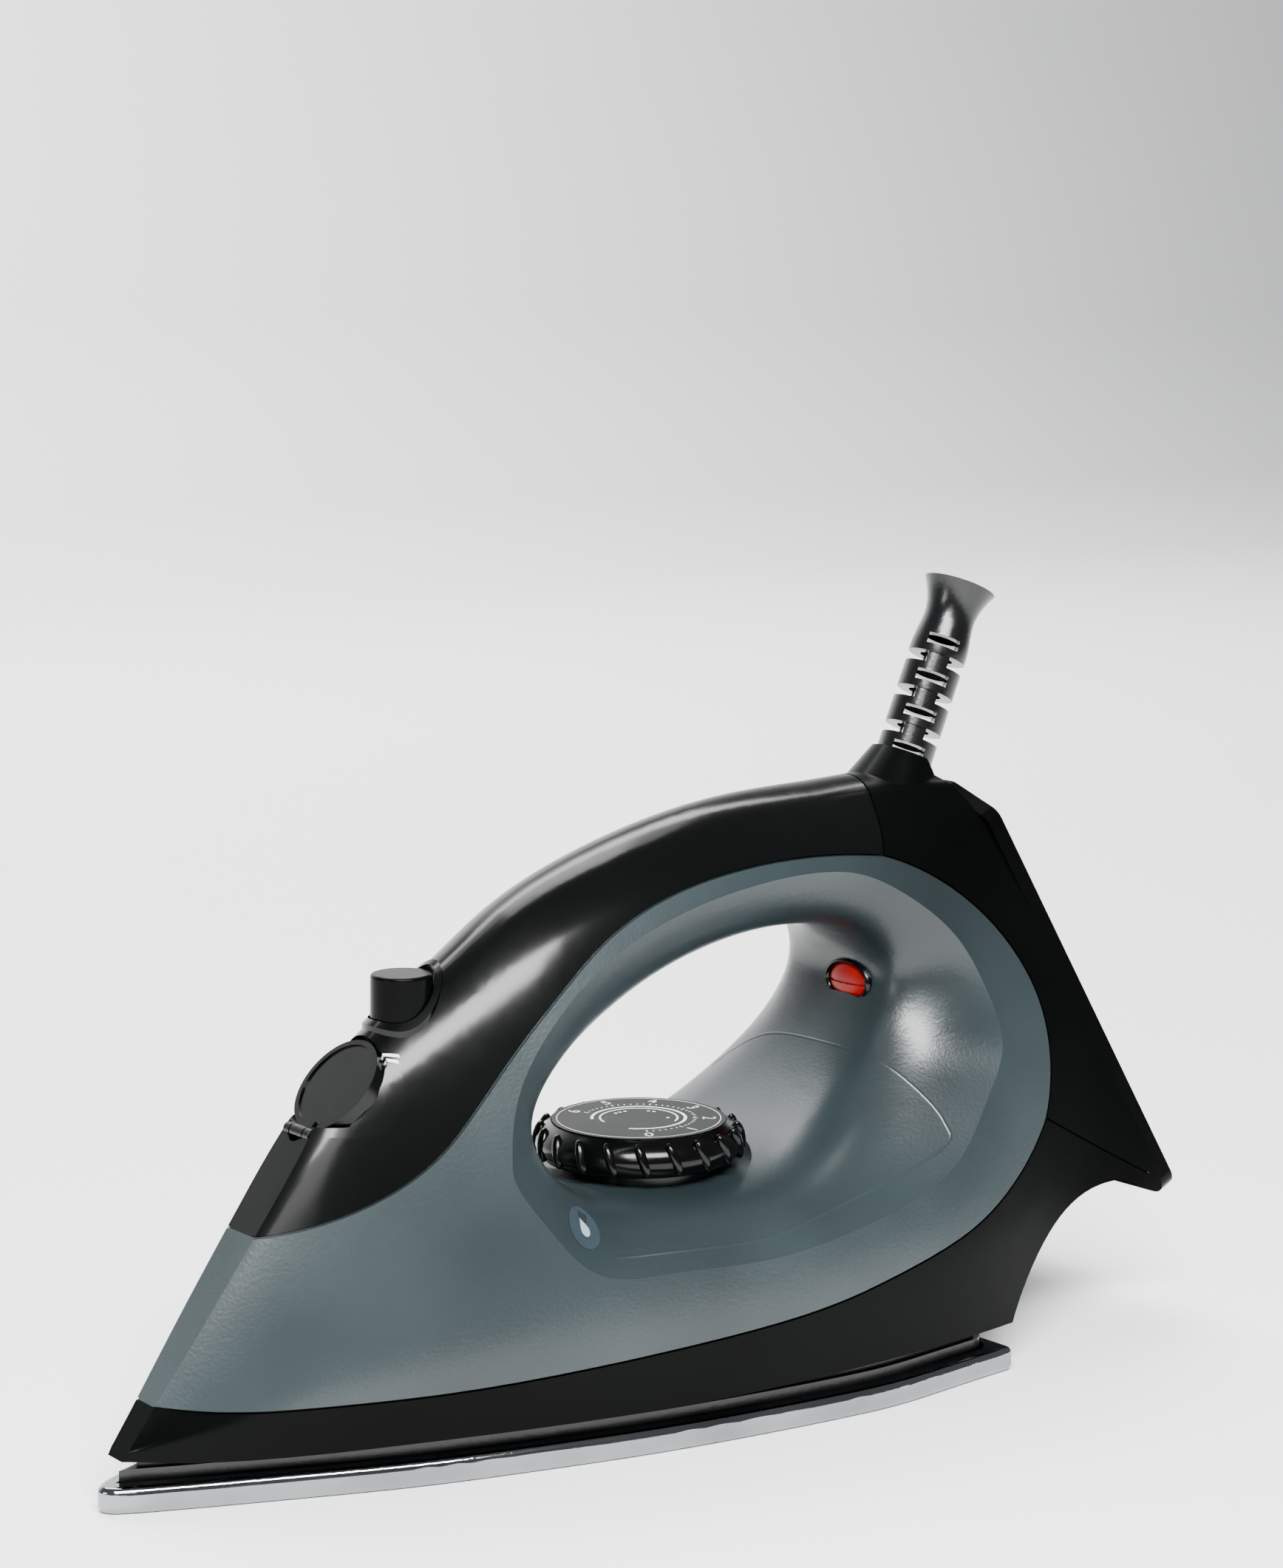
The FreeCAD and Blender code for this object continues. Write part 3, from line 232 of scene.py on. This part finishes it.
# tinted lens with a faint glow from the lamp behind it
redLens = softPlastic("redPolycarbonateLensMoulded", "#6a0403", "#8c0806", 0.28, 0.36, 0.001, 0.00002, 1.58)
lensShader = redLens.node_tree.nodes["Principled BSDF"]
lensShader.inputs["Specular IOR Level"].default_value = 0.15
lensShader.inputs["Emission Color"].default_value = linear("#ff0c06")
lensShader.inputs["Emission Strength"].default_value = 0.03
# blown glass bulb, warm from its gas
neonGlass = softPlastic("clearLampGlassBlown", "#b08a72", "#c9a58c", 0.08, 0.14, 0.002, 0.00001, 1.52)
# pad-printed inks: flat, even and matt against the plastic
whiteInk = softPlastic("whitePadPrintInk", "#e4e7e9", "#f0f2f3", 0.4, 0.55, 0.0006, 0.00001)
greyInk = softPlastic("greyPadPrintInk", "#7d8a92", "#8b98a0", 0.4, 0.55, 0.0006, 0.00001)
darkInk = softPlastic("smokedPadPrintInk", "#1f2a30", "#2a363d", 0.25, 0.35, 0.0006, 0.00001)

finishes = {
    blackAbs: ["handle_cover", "button_collar", "filler_cap", "dial", "lamp_bezel", "dial_ring"],
    satinAbs: ["rear_cover", "skirt", "heel_plate", "dial_face", "steam_button"],
    guardRubber: ["cord_guard"],
    tankPlastic: ["water_tank", "tank_floor", "tank_back", "tank_roof", "filler_funnel"],
    polishedSteel: ["sole_skin"],
    castAluminium: ["chamber_cover"],
    paintedCasting: ["sole_casting"],
    zincSteel: ["heating_element", "heater_pins", "shield_screws", "heel_screws", "terminal_screws",
                "clamp_screws", "cap_hinge_pin", "thermal_fuse", "chassis_plate", "thermostat_shaft"],
    heatShieldSteel: ["heat_shield"],
    phenolic: ["terminal_block", "thermostat_body"],
    acetal: ["valve_rod", "valve_tube", "cord_clamp", "clamp_bar", "heel_bosses"],
    silicone: ["chamber_gasket", "valve_seat", "valve_bellows", "cap_plug"],
    redLens: ["lamp_lens"],
    neonGlass: ["neon_lamp"],
}


def dressNodes():
    left = set(nodes)
    for material, names in finishes.items():
        for name in names:
            mesh = nodes[name].data
            mesh.materials.clear()
            mesh.materials.append(material)
            left.discard(name)
    print("finish given to every node, left:", sorted(left))


dressNodes()


def keepPiece(name, shape, material, body, replaced=(), smoothAngle=40):
    mesh = bpy.data.meshes.new(name)
    shape.to_mesh(mesh)
    shape.free()
    mesh.materials.append(material)
    for face in mesh.polygons:
        face.use_smooth = True
    piece = bpy.data.objects.new(name, mesh)
    bpy.context.collection.objects.link(piece)
    mesh.set_sharp_from_angle(angle=math.radians(smoothAngle))
    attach(piece, body)
    if replaced:
        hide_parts(*replaced)
    print("made", name, len(mesh.polygons), "faces")


def spinProfile(shape, profile, steps, centre=(0, 0, 0)):
    points = [shape.verts.new((centre[0] + r, centre[1], centre[2] + z)) for r, z in profile]
    edges = [shape.edges.new(pair) for pair in zip(points, points[1:])]
    bmesh.ops.spin(shape, geom=points + edges, cent=centre, axis=(0, 0, 1), angle=math.radians(360),
                   steps=steps, use_merge=True)
    bmesh.ops.remove_doubles(shape, verts=shape.verts, dist=0.000002)
    bmesh.ops.recalc_face_normals(shape, faces=shape.faces)


def lookup(nodeName):
    mesh = nodes[nodeName].data
    return BVHTree.FromPolygons([v.co for v in mesh.vertices], [p.vertices for p in mesh.polygons])


dialSettings = {
    "steps": 144,
    "ribs": 20,
    "ribSize": (0.0016, 0.0013, 0.0040),
    "ribTilt": 20,
    "ribLean": -10,
    "ribLevel": 0.0042,
    "ribSink": 0.0009,
    "rimInset": 0.0008,  # keeps the ribs' tips inside the dial's real radius
    "pocketRadius": 0.0201,
    "pocketDepth": 0.0005,
}


def dialBounds():
    low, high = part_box("dial")
    return Vector(((low[0] + high[0]) / 2, 0, low[2])), (high[0] - low[0]) / 2, high[2] - low[2]


def makeDialGrip():
    base, radius, height = dialBounds()
    rim = radius - dialSettings["rimInset"]
    pocket = dialSettings["pocketRadius"]
    floor = height - dialSettings["pocketDepth"]
    shape = bmesh.new()
    underside = [(0.0, 0.0022), (rim - 0.0032, 0.0022), (rim - 0.0030, 0.0002), (rim - 0.0016, 0.0001)]
    side = [(rim - 0.0008, 0.0009), (rim - 0.0001, 0.0022), (rim + 0.0001, 0.0036), (rim - 0.0003, 0.0050),
            (rim - 0.0012, 0.0063), (rim - 0.0022, 0.0073)]
    top = [(rim - 0.0032, height - 0.0004), (rim - 0.0036, height), (pocket, height),
           (pocket - 0.0002, floor), (0.0, floor)]
    spinProfile(shape, underside + side + top, dialSettings["steps"], base)
    lean = Matrix.Rotation(math.radians(dialSettings["ribLean"]), 3, "Y")
    tilt = Matrix.Rotation(math.radians(dialSettings["ribTilt"]), 3, "X")
    ribPlace = (rim - dialSettings["ribSink"], 0, dialSettings["ribLevel"])
    for index in range(dialSettings["ribs"]):
        ridge = bmesh.ops.create_uvsphere(shape, u_segments=14, v_segments=10, radius=1.0)["verts"]
        bmesh.ops.scale(shape, verts=ridge, vec=dialSettings["ribSize"])
        bmesh.ops.rotate(shape, verts=ridge, cent=(0, 0, 0), matrix=lean)
        bmesh.ops.rotate(shape, verts=ridge, cent=(0, 0, 0), matrix=tilt)
        bmesh.ops.translate(shape, verts=ridge, vec=ribPlace)
        turn = Matrix.Rotation(2 * math.pi / dialSettings["ribs"] * index, 3, "Z")
        bmesh.ops.rotate(shape, verts=ridge, cent=(0, 0, 0), matrix=turn)
        bmesh.ops.translate(shape, verts=ridge, vec=base)
    keepPiece("dialGrip", shape, blackAbs, "temperature_dial", ["dial"], 50)


def addArc(shape, radius, width, start, end, height, centre):
    points = [shape.verts.new((r, 0, 0)) for r in (radius - width / 2, radius + width / 2)]
    edge = shape.edges.new(points)
    before = set(shape.verts)
    steps = max(int(abs(end - start) / 4), 2)
    bmesh.ops.spin(shape, geom=points + [edge], cent=(0, 0, 0), axis=(0, 0, 1),
                   angle=math.radians(end - start), steps=steps, use_merge=abs(end - start) > 359)
    made = list(set(shape.verts) - before) + points
    bmesh.ops.rotate(shape, verts=made, cent=(0, 0, 0), matrix=Matrix.Rotation(math.radians(start), 3, "Z"))
    bmesh.ops.translate(shape, verts=made, vec=Vector(centre) + Vector((0, 0, height)))


printSettings = {
    "lift": 0.00004,  # the ink stands this far off the dial's face
    "arcs": [(0.0106, 0.0007, -140, 150), (0.0088, 0.00045, -60, 170), (0.0186, 0.0002, 0, 360)],
    "numberRadius": 0.0158,
    "numberSize": 0.0044,
    "numbers": ("0", "1", "2", "3", "4", "5", "6"),
    "numberStep": 40,
    "firstAngle": -120,
    "tickRadius": 0.0128,
    "tickLengths": (0.0006, 0.0012),
    "tickHalfAngle": 0.7,
    "ticksPerNumber": 6,
    "dotRadius": 0.00042,
    "dotRing": 0.0066,
    "dotAngles": (-40, 20, 80),
    "dotStep": 12,
}


def addText(shape, text, size, angle, radius, height, centre):
    curve = bpy.data.curves.new("printedText", "FONT")
    curve.body = text
    curve.size = size
    curve.align_x = "CENTER"
    curve.align_y = "CENTER"
    helper = bpy.data.objects.new("printedText", curve)
    bpy.context.collection.objects.link(helper)
    mesh = bpy.data.meshes.new_from_object(helper.evaluated_get(bpy.context.evaluated_depsgraph_get()))
    before = set(shape.verts)
    shape.from_mesh(mesh)
    letters = list(set(shape.verts) - before)
    bpy.data.objects.remove(helper)
    turn = Matrix.Rotation(math.radians(angle - 90), 3, "Z")
    bmesh.ops.translate(shape, verts=letters, vec=(0, radius, 0))
    bmesh.ops.rotate(shape, verts=letters, cent=(0, 0, 0), matrix=turn)
    bmesh.ops.translate(shape, verts=letters, vec=Vector(centre) + Vector((0, 0, height)))


def makeDialPrint():
    base = dialBounds()[0]
    centre = (base.x, 0, 0)
    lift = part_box("dial_face")[1][2] + printSettings["lift"]
    first = printSettings["firstAngle"]
    perNumber = printSettings["ticksPerNumber"]
    half = printSettings["tickHalfAngle"]
    shape = bmesh.new()
    for radius, width, start, end in printSettings["arcs"]:
        addArc(shape, radius, width, start, end, lift, centre)
    for index in range((len(printSettings["numbers"]) - 1) * perNumber + 1):
        angle = first + index * printSettings["numberStep"] / perNumber
        length = printSettings["tickLengths"][index % perNumber == 0]
        addArc(shape, printSettings["tickRadius"], length, angle - half, angle + half, lift, centre)
    for index, number in enumerate(printSettings["numbers"]):
        angle = first + index * printSettings["numberStep"]
        addText(shape, number, printSettings["numberSize"], angle, printSettings["numberRadius"], lift,
                centre)
    size = printSettings["dotRadius"]
    for index, angle in enumerate(printSettings["dotAngles"]):
        for dot in range(index + 1):
            turn = Matrix.Rotation(math.radians(angle + dot * printSettings["dotStep"]), 3, "Z")
            place = turn @ Vector((printSettings["dotRing"], 0, 0))
            spot = bmesh.ops.create_circle(shape, cap_ends=True, segments=12, radius=size)
            bmesh.ops.translate(shape, verts=spot["verts"], vec=place + Vector(centre) + Vector((0, 0, lift)))
    bmesh.ops.recalc_face_normals(shape, faces=shape.faces)
    if sum(face.normal.z for face in shape.faces) < 0:
        bmesh.ops.reverse_faces(shape, faces=shape.faces)
    keepPiece("dialPrint", shape, whiteInk, "temperature_dial")


makeDialGrip()
makeDialPrint()
print("dial ready")

lampSettings = {
    "halfWidth": 0.0064,
    "halfHeight": 0.0043,
    "dome": 0.0016,
    "backStretch": 2.2,  # the lens's hidden half, which reaches back into its seat
    "seat": 0.9,
    "bezelFit": 0.98,  # grips the lens all round
    "bezelWidth": 0.0009,
    "splitWidth": 0.00035,
    "splitLevel": -0.0003,  # the moulded line runs just under the lens's middle
    "splitDepth": 0.0005,
}
quarterTurn = Matrix.Rotation(math.radians(90), 3, "Y")  # turns a piece made upright to face the nose


def lampCentre():
    low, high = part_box("lamp_lens")
    return Vector((low[0], (low[1] + high[1]) / 2, (low[2] + high[2]) / 2))


def makeLampLens():
    centre = lampCentre()
    dome = lampSettings["dome"]
    groove = lampSettings["splitWidth"]
    level = lampSettings["splitLevel"]
    shape = bmesh.new()
    bmesh.ops.create_uvsphere(shape, u_segments=48, v_segments=24, radius=1.0)
    bmesh.ops.rotate(shape, verts=shape.verts, cent=(0, 0, 0), matrix=quarterTurn)
    behind = [vertex for vertex in shape.verts if vertex.co.x > 0.02]
    bmesh.ops.scale(shape, verts=behind, vec=(lampSettings["backStretch"], 1, 1))
    size = (dome, lampSettings["halfWidth"], lampSettings["halfHeight"])
    bmesh.ops.scale(shape, verts=shape.verts, vec=size)
    for step in (-1, -0.5, 0, 0.5, 1):
        bmesh.ops.bisect_plane(shape, geom=shape.verts[:] + shape.edges[:] + shape.faces[:],
                               plane_co=(0, 0, level + groove * step), plane_no=(0, 0, 1))
    for vertex in shape.verts:
        if abs(vertex.co.z - level) < groove * 0.6 and vertex.co.x < 0:
            vertex.co.x += lampSettings["splitDepth"]
    bmesh.ops.translate(shape, verts=shape.verts, vec=centre + Vector((dome * lampSettings["seat"], 0, 0)))
    keepPiece("lampLens", shape, redLens, "iron_body", ["lamp_lens"], 60)


def makeLampBezel():
    centre = lampCentre()
    fit = lampSettings["bezelFit"]
    shape = bmesh.new()
    profile = [(1.0, 0.0), (1.04, -0.5), (1.12, -0.8), (1.22, -0.5), (1.26, 0.2), (1.2, 2.6), (1.0, 2.6),
               (1.0, 0.0)]
    spinProfile(shape, profile, 64)
    bmesh.ops.rotate(shape, verts=shape.verts, cent=(0, 0, 0), matrix=quarterTurn)
    size = (lampSettings["bezelWidth"], lampSettings["halfWidth"] * fit, lampSettings["halfHeight"] * fit)
    bmesh.ops.scale(shape, verts=shape.verts, vec=size)
    bmesh.ops.translate(shape, verts=shape.verts, vec=centre + Vector((lampSettings["bezelWidth"], 0, 0)))
    bmesh.ops.recalc_face_normals(shape, faces=shape.faces)
    keepPiece("lampSurround", shape, blackAbs, "iron_body", ["lamp_bezel"], 50)


makeLampLens()
makeLampBezel()
print("lamp ready")

def onNearSide(tree, x, z, lift):  # the point of a shell's near flank, lifted off it
    hit, normal = tree.ray_cast(Vector((x, -0.12, z)), Vector((0, 1, 0)))[:2]
    return hit + (normal if normal.y < 0 else -normal) * lift


def fromAbove(tree, x, y, lift):
    hit, normal = tree.ray_cast(Vector((x, y, 0.25)), Vector((0, 0, -1)))[:2]
    return hit + (normal if normal.z > 0 else -normal) * lift


barSettings = {
    "lines": [((-0.0722, -0.0060), (-0.0686, -0.0088)), ((-0.0722, -0.0068), (-0.0692, -0.0093))],
    "width": 0.0005,
    "lift": 0.00005,
}


def makeIndexBars():
    tree = lookup("handle_cover")
    shape = bmesh.new()
    for (startX, startY), (endX, endY) in barSettings["lines"]:
        made = bmesh.ops.create_grid(shape, x_segments=8, y_segments=1, size=0.5)["verts"]
        for vertex in made:
            share = vertex.co.x + 0.5
            x = startX + (endX - startX) * share
            y = startY + (endY - startY) * share + vertex.co.y * barSettings["width"]
            vertex.co = fromAbove(tree, x, y, barSettings["lift"])
    keepPiece("indexBars", shape, whiteInk, "iron_body")


badgeSettings = {
    "centre": (-0.0355, 0.0480),  # X and Z on the deck's near side
    "radius": 0.0040,
    "squash": 0.95,
    "rings": 6,
    "ringWidth": 0.00058,
    "lift": 0.0001,
}


def makeBadge():
    tree = lookup("water_tank")
    shape = bmesh.new()
    bmesh.ops.create_circle(shape, cap_ends=True, segments=48, radius=badgeSettings["radius"])
    for ring in range(badgeSettings["rings"]):
        middle = [face for face in shape.faces if len(face.verts) > 4]
        bmesh.ops.inset_region(shape, faces=middle, thickness=badgeSettings["ringWidth"])
    bmesh.ops.poke(shape, faces=[face for face in shape.faces if len(face.verts) > 4])
    centreX, centreZ = badgeSettings["centre"]
    for vertex in shape.verts:
        height = centreZ + vertex.co.y * badgeSettings["squash"]
        vertex.co = onNearSide(tree, centreX + vertex.co.x, height, badgeSettings["lift"])
    keepPiece("tankBadge", shape, darkInk, "iron_body")


dropSettings = {
    "radius": 0.0012,
    "length": 1.9,
    "taper": 0.9,
    "sink": 0.0004,
    "lift": 0.00018,
}


def makeBadgeDrop():
    tree = lookup("water_tank")
    radius = dropSettings["radius"]
    shape = bmesh.new()
    bmesh.ops.create_circle(shape, cap_ends=True, segments=24, radius=radius)
    for vertex in shape.verts:
        if vertex.co.y > 0:  # the upper half is drawn out to the drop's tip
            vertex.co.x *= 1 - (vertex.co.y / radius) ** 1.5 * dropSettings["taper"]
            vertex.co.y *= dropSettings["length"]
    bmesh.ops.poke(shape, faces=shape.faces)
    centreX, centreZ = badgeSettings["centre"]
    for vertex in shape.verts:
        height = centreZ - dropSettings["sink"] + vertex.co.y
        vertex.co = onNearSide(tree, centreX + vertex.co.x, height, dropSettings["lift"])
    keepPiece("badgeDrop", shape, greyInk, "iron_body")


creaseSettings = {
    "width": 0.0011,
    "rise": 0.00016,
    "sink": 0.00004,  # its edges run just under the shell's face, so that no gap shows
    "stepsPerSpan": 14,
    "deckIsland": [(0.0455, 0.027, 0.0625), (0.0495, 0.021, 0.0675), (0.052, 0.0105, 0.072),
                   (0.0525, -0.013, 0.0725), (0.0565, -0.028, 0.068), (0.0605, -0.0385, 0.0585),
                   (0.0565, -0.0415, 0.053), (0.027, -0.0415, 0.045), (0.003, -0.041, 0.0415),
                   (-0.0305, -0.034, 0.042)],
}


def smoothLine(points, perSpan):  # an even curve that runs through every point
    made = []
    padded = [points[0]] + list(points) + [points[-1]]
    for before, start, end, after in zip(padded, padded[1:], padded[2:], padded[3:]):
        for step in range(perSpan):
            t = step / perSpan
            made.append(tuple(0.5 * (2 * b + (c - a) * t + (2 * a - 5 * b + 4 * c - d) * t * t
                                     + (3 * b - a - 3 * c + d) * t ** 3)
                              for a, b, c, d in zip(before, start, end, after)))
    return made + [tuple(points[-1])]


def makeDeckCrease():
    tree = lookup("water_tank")
    steps = creaseSettings["stepsPerSpan"]
    line = [Vector(point) for point in smoothLine(creaseSettings["deckIsland"], steps)]
    last = len(line) - 1
    shape = bmesh.new()
    strip = bmesh.ops.create_grid(shape, x_segments=last, y_segments=4, size=0.5)["verts"]
    feet = {}
    for vertex in strip:
        place = min(int(round((vertex.co.x + 0.5) * last)), last)
        if place not in feet:
            feet[place] = tree.find_nearest(line[place])[:2]
        foot, normal = feet[place]
        along = (line[min(place + 1, last)] - line[max(place - 1, 0)]).normalized()
        across = normal.cross(along).normalized() * vertex.co.y * creaseSettings["width"]
        bulge = math.cos(vertex.co.y * math.pi) ** 2 * creaseSettings["rise"] - creaseSettings["sink"]
        nearest, outward = tree.find_nearest(foot + across)[:2]
        vertex.co = nearest + outward * bulge
    bmesh.ops.recalc_face_normals(shape, faces=shape.faces)
    keepPiece("deckCrease", shape, tankPlastic, "iron_body")


makeDeckCrease()
makeIndexBars()
makeBadge()
makeBadgeDrop()
print("marks ready")

studioSettings = {
    "world": "#f4f8fb",
    "worldStrength": 0.24,
    "sheetCurve": [(-3.0, 0.0), (2.2, 0.0), (2.7, 0.06), (3.1, 0.3), (3.35, 0.8), (3.45, 1.6), (3.45, 4.0)],
    "sheetStart": -5.0,
    "sheetWidth": 12.0,
    "lights": [
        # name, place, target, width, height, watts
        ("handleStrip", (-0.36, -0.68, 0.90), (-0.02, 0, 0.10), 0.85, 0.30, 44.0),
        ("topSoftbox", (0.10, 0.35, 1.15), (0.02, 0, 0.05), 0.5, 0.5, 6.0),
        ("frontFill", (-0.9, -1.1, 0.9), (0.0, 0, 0.06), 0.5, 0.5, 5.0),
        ("noseCard", (-1.1, 0.0, 0.35), (-0.1, 0, 0.05), 0.35, 0.35, 3.0),
        ("backdropLight", (0.6, 1.4, 2.2), (0.9, 3.0, 0.4), 2.0, 2.0, 150.0),
        ("floorLight", (0.3, 0.9, 1.6), (0.2, 0.7, 0.0), 1.2, 1.2, 16.0),
    ],
}


def areaLight(name, place, target, width, height, watts):
    data = bpy.data.lights.new(name, "AREA")
    data.energy = watts
    data.shape = "RECTANGLE"
    data.size = width
    data.size_y = height
    light = bpy.data.objects.new(name, data)
    light.location = place
    light.rotation_euler = (Vector(target) - Vector(place)).to_track_quat("-Z", "Y").to_euler()
    bpy.context.collection.objects.link(light)


def makeBackdrop():
    sheet = bmesh.new()
    start = studioSettings["sheetStart"]
    line = [sheet.verts.new((start, y, z)) for y, z in studioSettings["sheetCurve"]]
    edges = [sheet.edges.new(pair) for pair in zip(line, line[1:])]
    sweep = bmesh.ops.extrude_edge_only(sheet, edges=edges)
    moved = [item for item in sweep["geom"] if isinstance(item, bmesh.types.BMVert)]
    bmesh.ops.translate(sheet, verts=moved, vec=(studioSettings["sheetWidth"], 0, 0))
    bmesh.ops.recalc_face_normals(sheet, faces=sheet.faces)
    mesh = bpy.data.meshes.new("studioFloor")
    sheet.to_mesh(mesh)
    sheet.free()
    for face in mesh.polygons:
        face.use_smooth = True
    floor = bpy.data.objects.new("studioFloor", mesh)
    bpy.context.collection.objects.link(floor)
    # matt paper roll: an even pale ground with no shine
    dull = {"Roughness": 0.9, "Specular IOR Level": 0.1}
    material, tree, shader, coords = newMaterial("matteWhitePaper", dull)
    variedColour(tree, coords, shader, "#f8f9f9", "#fbfbfb", 0.5)
    mesh.materials.append(material)


def makeStudio():
    makeBackdrop()
    world = bpy.data.worlds.new("paleStudio")
    world.use_nodes = True
    sky = world.node_tree.nodes["Background"]
    sky.inputs["Color"].default_value = linear(studioSettings["world"])
    sky.inputs["Strength"].default_value = studioSettings["worldStrength"]
    bpy.context.scene.world = world
    for lightSettings in studioSettings["lights"]:
        areaLight(*lightSettings)


makeStudio()
print("studio ready")
